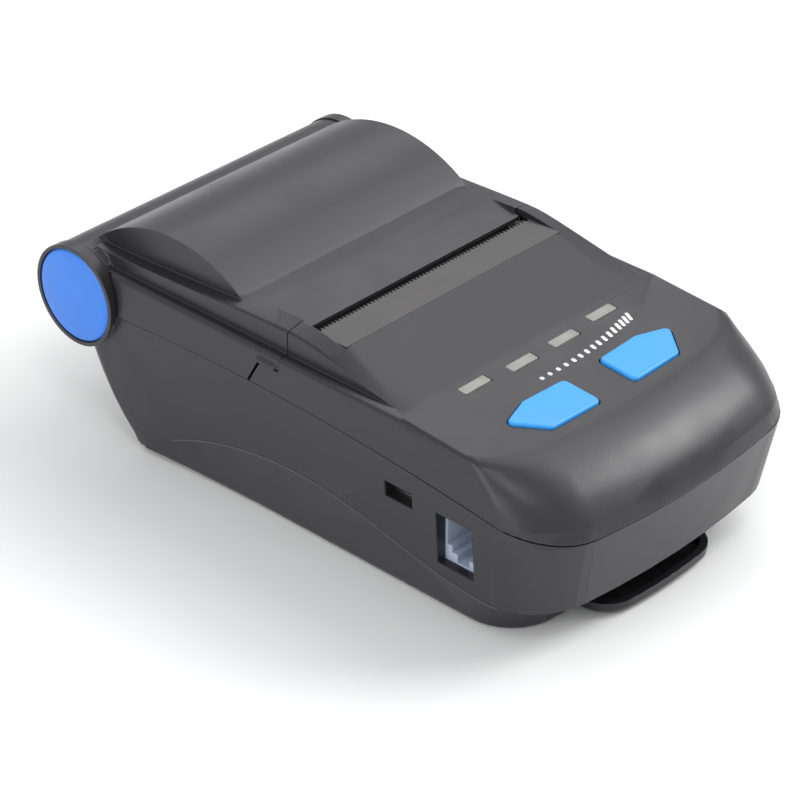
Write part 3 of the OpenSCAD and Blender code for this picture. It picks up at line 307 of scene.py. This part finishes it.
# A lighter plastic, the painted highlight along the edge of the hand recess
moulded("arch_highlight_plastic", (0.080, 0.077, 0.084), 0.36, depth=0.2, edge_tone=1.2, radius=0.05)
moulded("frame_plastic", (0.045, 0.047, 0.052), 0.45, edge_tone=1.4)
moulded("black_plastic", (0.012, 0.012, 0.013), 0.42, edge_tone=1.5)
moulded("clip_plastic", (0.014, 0.014, 0.016), 0.25, depth=0.1, edge_tone=4.0, radius=0.3)
moulded("white_plastic", (0.76, 0.76, 0.73), 0.40, depth=0.1, edge_tone=1.0)
moulded("jack_plastic", (0.44, 0.50, 0.62), 0.30, depth=0.08, edge_tone=1.15, radius=0.15)
moulded("rubber", (0.016, 0.016, 0.017), 0.65, grain_size=0.25, depth=0.5, edge_tone=1.3, gloss=0.35)
moulded("ceramic", (0.72, 0.71, 0.66), 0.15, depth=0.03, edge_tone=1.0)
moulded("battery", (0.035, 0.065, 0.17), 0.28, depth=0.1, edge_tone=1.3, mottle=12.0)
print("plastics:", sorted(materials))

# %% [markdown]
# ## Metals
# Pins, screws, springs and the heat sink are drawn, turned or rolled, which leaves marks along the
# part. Scratches could be painted, but a noise that a Mapping node squeezes to long strokes gives
# them at any size. The strokes drive the bump and the roughness, and the tone dulls in places.

# %% Metals with brush marks
STROKE_HIGH, METAL_RADIUS = 0.00001, 0.00012


def brushed(name, colour, roughness, marks=(400.0, 12000.0, 12000.0), depth=0.25, edge_tone=1.2,
            tarnish=0.12):
    tree, shader = new_finish(name)
    place = put(tree, "TexCoord")
    along = put(tree, "Mapping", {"Vector": place.outputs["Object"], "Scale": marks})
    strokes = put(tree, "TexNoise", {"Vector": along.outputs[0], "Scale": 1.0, "Detail": 2.0})
    skin = put(tree, "Group", {"Grain Size": 0.5, "Mottle Size": 4.0}, node_tree=grain)
    edge = put(tree, "Group", {"Radius": METAL_RADIUS}, node_tree=edges)
    base = blend(tree, skin.outputs["Mottle"], tone(colour, 1 - tarnish), tone(colour, 1.05))
    # The edges are lighter: partly wear, partly a painted highlight
    bright = blend(tree, edge.outputs["Mask"], base, tone(colour, edge_tone))
    rough = put(tree, "MapRange", {"Value": strokes.outputs[0], "From Min": 0.3, "From Max": 0.7,
                                   "To Min": roughness - 0.05, "To Max": roughness + 0.07})
    bump = put(tree, "Bump", {"Strength": depth, "Distance": STROKE_HIGH,
                              "Height": strokes.outputs[0], "Normal": edge.outputs["Normal"]})
    tree.links.new(bright, shader.inputs["Base Color"])
    tree.links.new(rough.outputs[0], shader.inputs["Roughness"])
    tree.links.new(bump.outputs[0], shader.inputs["Normal"])
    shader.inputs["Metallic"].default_value = 1.0


brushed("steel", (0.62, 0.62, 0.64), 0.28)
brushed("screws", (0.10, 0.10, 0.105), 0.38, edge_tone=2.5)
brushed("heat_sink", (0.66, 0.67, 0.69), 0.36, marks=(9000.0, 500.0, 9000.0))
brushed("contacts", (0.86, 0.62, 0.28), 0.24)
print(len(materials), "finishes with the metals")

# %% [markdown]
# ## Boards, cable and lamps
# Circuit boards are green where a mask covers the laminate, with paler copper just under it, and a
# flat cable is amber film over thin wires. Real tracks could be drawn, but they are only seen through
# a slit, so a square cell pattern that is cut to two tones is enough.

# %% Layered finishes and the frosted windows
TRACK_HIGH = 0.00003


def layered(name, pattern_scale, low_colour, high_colour, roughness, bump_depth=0.1, cut=(0.45, 0.55)):
    tree, shader = new_finish(name)
    place = put(tree, "TexCoord")
    pattern = put(tree, "TexVoronoi", {"Vector": place.outputs["Object"], "Scale": pattern_scale},
                  feature="F1", distance="CHEBYCHEV")
    share = put(tree, "MapRange", {"Value": pattern.outputs["Distance"], "From Min": cut[0],
                                   "From Max": cut[1]})
    skin = put(tree, "Group", {"Grain Size": 0.5, "Mottle Size": 5.0}, node_tree=grain)
    base = blend(tree, share.outputs[0], tone(low_colour, 1.0), tone(high_colour, 1.0))
    soft = blend(tree, skin.outputs["Mottle"], base, tone(low_colour, 1.15))
    bump = put(tree, "Bump", {"Strength": bump_depth, "Distance": TRACK_HIGH,
                              "Height": share.outputs[0]})
    tree.links.new(soft, shader.inputs["Base Color"])
    tree.links.new(bump.outputs[0], shader.inputs["Normal"])
    shader.inputs["Roughness"].default_value = roughness


layered("board", 260.0, (0.010, 0.085, 0.035), (0.020, 0.15, 0.065), 0.25)
layered("cable", 900.0, (0.42, 0.24, 0.05), (0.60, 0.38, 0.12), 0.30)
layered("led", 500.0, (0.74, 0.74, 0.62), (0.85, 0.84, 0.74), 0.15)
frosted = moulded("window", (0.36, 0.36, 0.33), 0.22, grain_size=0.8, depth=0.25, edge_tone=1.35,
                  radius=0.15, mottle=1.6)
frosted.inputs["Transmission Weight"].default_value = 0.25
print(len(materials), "finishes")

# %% [markdown]
# ## The carried-over parts
# Most parts inside, such as the gears, screws and boards, already have their exact shape. They could
# be modelled again, but nothing would be gained. They only need a finish, and the record of the model
# says which slot each of them takes.

# %% A finish for every carried-over part
slot_of = {row["node"]: row["material_slot"] for row in frame["record"]["subparts"]}
for name, piece in nodes.items():
    piece.data.materials.clear()
    piece.data.materials.append(materials[slot_of[name]])
print("dressed", len(nodes), "parts")

# %% [markdown]
# ## From a shape to a finished piece
# Every new piece ends in the same way: its shape becomes a mesh, edges over a given angle stay sharp,
# it gets its finish, and it is tied to the body that carries it. One function does this. The two
# small ones beside it list the edges or faces round some corners, in an order that never changes.

# %% Helpers for new pieces
def edges_of(verts):
    return list(dict.fromkeys(edge for vert in verts for edge in vert.link_edges))


def faces_of(verts):
    return list(dict.fromkeys(face for vert in verts for face in vert.link_faces))


def finish_piece(name, shape, body, slot, sharp=30.0, finish=None):
    mesh = bpy.data.meshes.new(name)
    shape.to_mesh(mesh)
    shape.free()
    mesh.shade_smooth()
    mesh.set_sharp_from_angle(angle=math.radians(sharp))
    mesh.materials.append(materials[finish or slot])
    piece = place_object(name, mesh)
    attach(piece, body)
    return piece


print("helpers for pieces ready")

# %% [markdown]
# ## Even normals
# The curved corners of the shells are made of narrow facets of unequal width, on which light jumps.
# More facets would cure it, but the mesh has to stay the mechanical one. So only the normals are
# evened: the corners that share a vertex and a normal form a fan, and each fan is averaged with those
# at the other end of its short edges, a few times over. Fans that point clearly another way are left
# out, so that real edges stay crisp.

# %% Average the normals over short edges
FAN_STEPS, ALIKE = 200, 0.975


def even_normals(piece, reach=0.0004, rounds=3):
    shown = piece.evaluated_get(bpy.context.evaluated_depsgraph_get())
    mesh = shown.to_mesh()
    normals = np.empty(len(mesh.loops) * 3)
    mesh.corner_normals.foreach_get("vector", normals)
    normals = normals.reshape(-1, 3)
    at_vert = np.empty(len(mesh.loops), dtype=np.int64)
    mesh.loops.foreach_get("vertex_index", at_vert)
    places = np.empty(len(mesh.vertices) * 3)
    mesh.vertices.foreach_get("co", places)
    places = places.reshape(-1, 3)
    # The corner that follows each corner round its face
    follow = np.arange(len(at_vert)) + 1
    for polygon in mesh.polygons:
        follow[polygon.loop_start + polygon.loop_total - 1] = polygon.loop_start
    keys = np.column_stack((at_vert, np.round(normals * FAN_STEPS)))
    first, fan = np.unique(keys, axis=0, return_index=True, return_inverse=True)[1:]
    here = fan.reshape(-1)
    there = here[follow]
    length = np.linalg.norm(places[at_vert] - places[at_vert[follow]], axis=1)
    soft = normals[first]
    alike = np.sum(soft[here] * soft[there], axis=1) > ALIKE
    pull = (np.exp(-(length / reach) ** 2) * alike)[:, None]
    for _ in range(rounds):
        total = soft.copy()
        np.add.at(total, here, pull * soft[there])
        np.add.at(total, there, pull * soft[here])
        soft = total / np.linalg.norm(total, axis=1, keepdims=True)
    shown.to_mesh_clear()
    piece.modifiers.clear()
    piece.data.normals_split_custom_set([tuple(normal) for normal in soft[here]])


print("normals are averaged over edges of about 0.4 mm")

# %% [markdown]
# ## Shells
# The shells come from the mechanical model as loose triangles, which look faceted. A copy is merged
# into one surface, and triangles that lie in one plane are joined again. Its sharp edges are marked
# by their angle, weighted normals let the large flat faces win, and the normals are evened, so that
# the curved corners turn softly. This keeps every seam where it is. The lid takes a smaller angle,
# because its dome meets its end faces at a shallow one.

# %% Smooth copies of the shells
MERGE_WITHIN, SAME_PLANE = 0.000001, math.radians(0.4)
NORMAL_WEIGHT = 60


def smooth_copy(node, name, sharp):
    shape = bmesh.new()
    shape.from_mesh(nodes[node].data)
    bmesh.ops.remove_doubles(shape, verts=shape.verts, dist=MERGE_WITHIN)
    bmesh.ops.dissolve_limit(shape, angle_limit=SAME_PLANE, verts=shape.verts, edges=shape.edges)
    bmesh.ops.triangulate(shape, faces=[face for face in shape.faces if len(face.verts) > 4])
    piece = finish_piece(name, shape, nodes[node]["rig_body"], slot_of[node], sharp)
    weighted = piece.modifiers.new("weighted normals", "WEIGHTED_NORMAL")
    weighted.keep_sharp, weighted.weight, weighted.mode = True, NORMAL_WEIGHT, "FACE_AREA_WITH_ANGLE"
    even_normals(piece)
    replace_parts(piece, node)
    print(name, len(piece.data.polygons), "faces")
    return piece


shells = {}
for node, name, sharp in (("lower_case", "case_lower_shell", 20), ("top_cover", "case_top_cover", 20),
                          ("lid_shell", "paper_lid", 11), ("battery_door", "battery_lid", 20),
                          ("belt_clip", "belt_clip_arm", 20), ("jack_contacts", "jack_springs", 20)):
    shells[node] = smooth_copy(node, name, sharp)

# %% [markdown]
# ## A painted highlight on the edge of the hand recess
# An arch is set back in each side wall. Its rounded edge would catch the light as a thin light line;
# here that line is a painted highlight, a strip of lighter plastic. The edge mask of the finish can't
# find the edge, because the wall and the recess below it are almost parallel. So the line is drawn from
# the shell's own edges, where the wall meets the narrow ledge that faces down, drawn up to a thick
# strip.

# %% Painted highlight on the edge of the arch
STRIP_HIGH, STRIP_OUT, STRIP_THICK = 0.28 * MM, 0.06 * MM, 0.04 * MM
WALL_LEAN = 0.07


def on_arch(edge):
    if len(edge.link_faces) != 2 or not 60.0 < math.degrees(edge.calc_face_angle(0.0)) < 100.0:
        return False
    ledge, wall = sorted(edge.link_faces, key=lambda face: face.normal.z)
    middle = (edge.verts[0].co + edge.verts[1].co) / 2
    return (ledge.normal.z < -0.8 and abs(wall.normal.x) > 0.98 and wall.normal.z > -0.09
            and abs(middle.x) > 34 * MM and 8 * MM < middle.z < 18 * MM)


shape = bmesh.new()
shape.from_mesh(shells["lower_case"].data)
arch = {edge for edge in shape.edges if on_arch(edge)}
print("arch edges:", len(arch))
bmesh.ops.delete(shape, geom=[edge for edge in shape.edges if edge not in arch], context="EDGES_FACES")
bmesh.ops.delete(shape, geom=[vert for vert in shape.verts if not vert.link_edges], context="VERTS")
drawn = bmesh.ops.extrude_edge_only(shape, edges=shape.edges[:])["geom"]
for vert in (part for part in drawn if isinstance(part, bmesh.types.BMVert)):
    vert.co += Vector((math.copysign(WALL_LEAN, vert.co.x), 0, 1)) * STRIP_HIGH
for vert in shape.verts:
    vert.co.x += math.copysign(STRIP_OUT, vert.co.x)
bmesh.ops.recalc_face_normals(shape, faces=shape.faces)
bmesh.ops.solidify(shape, geom=shape.faces[:], thickness=STRIP_THICK)
bmesh.ops.recalc_face_normals(shape, faces=shape.faces)
# The strip is lighter plastic: a painted highlight along the arch edge
finish_piece("arch_highlight_strip", shape, "case", "case_plastic", 30.0, "arch_highlight_plastic")

# %% [markdown]
# ## Outline of a key
# Each key is moulded in blue plastic and has the shape of a home plate that points outwards. Its
# outline is given once, in the plane of the control panel, which falls towards the front. A prism
# over it could be drawn face by face, but a circle with one segment per corner gives the first face,
# which is moved to the outline, drawn up, and bevelled along its upright edges. A bevel is set by its
# reach along the walls, so the radius is divided by the tangent of half the angle at the corner.

# %% Outline of a key, and a prism over it
KEY_CORNERS = [(5, -111.4), (18.8, -111), (24.4, -104), (16.7, -101.4), (5.1, -101.9)]
PANEL_HIGH, PANEL_SLOPE = 14.33, 0.073
# Takes a place in millimetres, with its height over the panel, into the frame
OVER_PANEL = Matrix(((MM, 0, 0, 0), (0, MM, 0, HINGE_Y * MM),
                     (0, PANEL_SLOPE * MM, MM, (PANEL_HIGH + HINGE_Z) * MM), (0, 0, 0, 1)))


def highest(faces):
    return max(faces, key=lambda face: face.calc_center_median().z)


def prism(shape, corners, radius, bottom, top):
    made = bmesh.ops.create_circle(shape, cap_ends=True, segments=len(corners), radius=1.0)["verts"]
    for vert, (x, y) in zip(made, corners):
        vert.co = (x, y, bottom)
    raised = bmesh.ops.extrude_face_region(shape, geom=[made[0].link_faces[0]])["geom"]
    top_verts = [part for part in raised if isinstance(part, bmesh.types.BMVert)]
    bmesh.ops.translate(shape, verts=top_verts, vec=(0, 0, top - bottom))
    bmesh.ops.recalc_face_normals(shape, faces=faces_of(made + top_verts))
    for number, corner in enumerate(corners):
        here, back = Vector(corner), Vector(corners[number - 1])
        onward = Vector(corners[(number + 1) % len(corners)])
        reach = radius / math.tan((back - here).angle(onward - here) / 2)
        upright = [edge for edge in shape.edges
                   if all((vert.co.xy - here).length < 1e-4 for vert in edge.verts)]
        bmesh.ops.bevel(shape, geom=upright, offset=reach, segments=5, profile=0.5, affect="EDGES",
                        material=-1)
    return highest(face for face in shape.faces if abs(face.normal.z) > 0.9)


print("key outline:", KEY_CORNERS)

# %% [markdown]
# ## Keys
# The cap is a prism whose rim is rounded. Each ring let into its top is a little smaller and lower
# than the last, which gives the shallow dish that a fingertip feels. The rings are scaled and not
# inset by a width, because an inset wider than the corner radius would fold the corners over. A
# flange under the panel keeps the key in, and a stem reaches down to its switch.

# %% Two keys with dished tops
KEY_MIDDLE = Vector((12.8, -106.4))
FLANGE_WIDER, FLANGE_RADIUS, FLANGE_BOTTOM, FLANGE_TOP = 1.09, 1.4, -3.0, -2.15
STEM_RADIUS, STEM_LONG, STEM_MIDDLE = 1.6, 1.18, (13.5, -106.4, -3.49)
CAP_RADIUS, CAP_BOTTOM, CAP_TOP, CAP_RIM = 1.2, -2.4, 0.58, 0.45
# Share of the last ring's size, and how far it lies below it
DISH_RINGS = ((0.94, 0.02), (0.85, 0.05), (0.75, 0.05), (0.6, 0.04))


def build_key(name, side, body, node):
    shape = bmesh.new()
    wider = [tuple(KEY_MIDDLE + (Vector(corner) - KEY_MIDDLE) * FLANGE_WIDER) for corner in KEY_CORNERS]
    prism(shape, wider, FLANGE_RADIUS, FLANGE_BOTTOM, FLANGE_TOP)
    bmesh.ops.create_cone(shape, cap_ends=True, segments=24, radius1=STEM_RADIUS, radius2=STEM_RADIUS,
                          depth=STEM_LONG, matrix=Matrix.Translation(STEM_MIDDLE))
    top = prism(shape, KEY_CORNERS, CAP_RADIUS, CAP_BOTTOM, CAP_TOP)
    bmesh.ops.bevel(shape, geom=list(top.edges), offset=CAP_RIM, segments=4, profile=0.5,
                    affect="EDGES", material=-1)
    top = highest(face for face in shape.faces if len(face.verts) > 8)
    pivot = Matrix.Translation(-top.calc_center_median())
    for share, drop in DISH_RINGS:
        bmesh.ops.inset_region(shape, faces=[top], thickness=0.0)
        bmesh.ops.scale(shape, verts=top.verts, vec=(share, share, 1), space=pivot)
        bmesh.ops.translate(shape, verts=top.verts, vec=(0, 0, -drop))
    bmesh.ops.scale(shape, verts=shape.verts, vec=(side, 1, 1))
    if side < 0:
        bmesh.ops.reverse_faces(shape, faces=shape.faces)
    bmesh.ops.transform(shape, verts=shape.verts, matrix=OVER_PANEL)
    piece = finish_piece(name, shape, body, "blue_plastic", 40.0, "key_blue")
    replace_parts(piece, node)
    print(name, len(piece.data.polygons), "faces")


build_key("right_key", 1, "right_button", "right_button")
build_key("left_key", -1, "left_button", "left_button")

# %% [markdown]
# ## Status windows
# Four bars of frosted plastic carry the light of small lamps up to the panel. They could be left as
# plain blocks, but a real bar stands a hair proud and has broken edges, which catch the light. They
# sit with a little play in their slots, so a dark line shows along the front of each.

# %% Four light bars
BAR_PLACES = ((-18.7, -91.2), (-6.2, -92.2), (6.2, -92.2), (18.7, -91.2))
BAR_SIZE, BAR_MIDDLE_Z, BAR_PLAY = (7.3, 2.28, 6.5), -3.2, (-0.06, 0.11)
BAR_CORNER, BAR_RIM = 0.22, 0.14


def upright_edges(verts):
    return [edge for edge in edges_of(verts)
            if abs((edge.verts[0].co - edge.verts[1].co).normalized().z) > 0.9]


shape = bmesh.new()
for x, y in BAR_PLACES:
    middle = Matrix.Translation((x + BAR_PLAY[0], y + BAR_PLAY[1], BAR_MIDDLE_Z))
    made = bmesh.ops.create_cube(shape, size=1.0, matrix=middle @ Matrix.Diagonal(BAR_SIZE + (1,)))
    rounded = bmesh.ops.bevel(shape, geom=upright_edges(made["verts"]), offset=BAR_CORNER, segments=3,
                              profile=0.5, affect="EDGES", material=-1)
    top = highest(face for face in faces_of(rounded["verts"]) if abs(face.normal.z) > 0.9)
    bmesh.ops.bevel(shape, geom=list(top.edges), offset=BAR_RIM, segments=2, profile=0.5,
                    affect="EDGES", material=-1)
bmesh.ops.transform(shape, verts=shape.verts, matrix=OVER_PANEL)
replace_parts(finish_piece("light_bars", shape, "case", "window"), "status_windows")
print("light bars:", len(BAR_PLACES))

# %% [markdown]
# ## Hinge caps
# A blue cap covers each hinge pin. A bevelled cylinder would do from afar, but the real face is
# softly domed. So the cap is a turned shape: half of its section is drawn once and spun round the
# hinge axis, with a domed face, a rounded rim and a hollow back.

# %% Two domed caps
# Distance from the hinge axis, and from the middle of the printer
CAP_SECTION = [(0.0, 40.72), (3.0, 40.69), (6.0, 40.58), (8.2, 40.42), (9.5, 40.25), (10.0, 40.05),
               (10.2, 39.75), (10.27, 39.3), (10.27, 38.9), (2.6, 38.9), (2.6, 39.5), (0.0, 39.5)]
FROM_HINGE = Matrix.Translation(at(0, 0, 0)) @ Matrix.Scale(MM, 4)

for side, node, name in ((-1, "hinge_cap_left", "left_hinge_cap"),
                         (1, "hinge_cap_right", "right_hinge_cap")):
    shape = bmesh.new()
    line = [shape.verts.new((side * x, radius, 0)) for radius, x in CAP_SECTION]
    section = [shape.edges.new(pair) for pair in zip(line, line[1:])]
    bmesh.ops.spin(shape, geom=line + section, cent=(0, 0, 0), axis=(1, 0, 0), angle=math.tau,
                   steps=96, use_merge=True)
    bmesh.ops.remove_doubles(shape, verts=shape.verts, dist=0.0005)
    bmesh.ops.recalc_face_normals(shape, faces=shape.faces)
    bmesh.ops.transform(shape, verts=shape.verts, matrix=FROM_HINGE)
    piece = finish_piece(name, shape, "case", "blue_plastic", 35.0)
    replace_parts(piece, node)
    print(name, len(piece.data.polygons), "faces")

# %% [markdown]
# ## Port liners of painted shade
# Each port in the side wall is lined with a thin black sleeve, a painted shade that darkens the inner
# faces of the opening where shade falls. A sleeve is a frame of four thin walls. It could be cut from a
# block, but it is simpler to take the two ends off a block of faces and thicken the rest inwards. Its
# outer end follows the slanted side wall.

# %% Black sleeves as painted shade in the ports
# Front, back, bottom and top of each port
PORTS = ((-93.05, -85.75, -10.9, -7.1), (-108.45, -98.95, -20.55, -8.45))
SLEEVE_MIDDLE_X, SLEEVE_LONG, SLEEVE_THICK = -36.8, 2.7, 0.16
SIDE_WALL_X, SIDE_WALL_SLANT, SLEEVE_SET_BACK = 38.8, 0.067, 0.06

shape = bmesh.new()
for y0, y1, z0, z1 in PORTS:
    middle = Matrix.Translation((SLEEVE_MIDDLE_X, (y0 + y1) / 2, (z0 + z1) / 2))
    size = Matrix.Diagonal((SLEEVE_LONG, y1 - y0, z1 - z0, 1))
    made = bmesh.ops.create_cube(shape, size=1.0, matrix=middle @ size)["verts"]
    for vert in made:
        if vert.co.x < SLEEVE_MIDDLE_X:
            vert.co.x = -(SIDE_WALL_X + SIDE_WALL_SLANT * vert.co.z) + SLEEVE_SET_BACK
    sides = faces_of(made)
    ends = [face for face in sides if abs(face.normal.x) > 0.9]
    bmesh.ops.delete(shape, geom=ends, context="FACES_ONLY")
    walls = [face for face in sides if face.is_valid]
    bmesh.ops.recalc_face_normals(shape, faces=walls)
    bmesh.ops.solidify(shape, geom=walls, thickness=SLEEVE_THICK)
bmesh.ops.recalc_face_normals(shape, faces=shape.faces)
bmesh.ops.transform(shape, verts=shape.verts, matrix=FROM_HINGE)
# The sleeves are black plastic, painted shade inside the ports
finish_piece("port_shade_sleeves", shape, "case", "black_plastic")
print("sleeves:", len(PORTS))

# %% [markdown]
# ## Scale of tick marks
# Between the windows and the keys a row of white marks grows from dots to bars: it is pad-printed
# ink, a few hundredths of a millimetre thick. An image could hold them, but it would blur close up.
# So each mark is a small cube that is stretched, turned a little towards the right, and rounded at
# its ends by a bevel of its upright edges.

# %% Printed marks on the panel
MARKS = [(-7.5, -98.5), (-5.2, -98.5), (-2.8, -98.55), (-0.5, -98.55), (1.8, -98.55), (3.9, -98.45),
         (6.0, -98.3), (8.1, -98.1), (10.0, -97.9), (12.0, -97.65), (13.85, -97.35), (15.6, -97.0),
         (17.3, -96.7), (18.8, -96.4), (20.2, -96.15), (21.6, -95.85)]
MARK_LONG, MARK_GROWS, MARK_CURVE = 0.95, 1.75, 1.4
MARK_WIDE, MARK_NARROWS, MARK_TURN = 0.85, 0.12, -24
INK_THICK, INK_LIFT = 0.06, 0.01

moulded("white_ink", (0.86, 0.86, 0.86), 0.5, depth=0.05, edge_tone=1.0, radius=0.02)
shape = bmesh.new()
for number, (x, y) in enumerate(MARKS):
    along = number / (len(MARKS) - 1)
    length = MARK_LONG + MARK_GROWS * along ** MARK_CURVE
    width = MARK_WIDE - MARK_NARROWS * along
    size = Matrix.Diagonal((width * MM, length * MM, INK_THICK * MM, 1))
    made = bmesh.ops.create_cube(shape, size=1.0, matrix=size)["verts"]
    rounded = bmesh.ops.bevel(shape, geom=upright_edges(made), offset=0.40 * width * MM, segments=4,
                              profile=0.5, affect="EDGES", material=-1)
    mark_verts = list(dict.fromkeys([vert for face in rounded["faces"] for vert in face.verts]
                                    + [vert for vert in made if vert.is_valid]))
    on_panel = Matrix.Translation(at(x, y, PANEL_HIGH + PANEL_SLOPE * y + INK_LIFT))
    tilt = Matrix.Rotation(math.atan(PANEL_SLOPE), 4, "X")
    turn = Matrix.Rotation(math.radians(MARK_TURN) * along, 4, "Z")
    bmesh.ops.transform(shape, verts=mark_verts, matrix=on_panel @ tilt @ turn)
finish_piece("level_marks", shape, "case", "white_plastic", finish="white_ink")
print("marks:", len(MARKS))
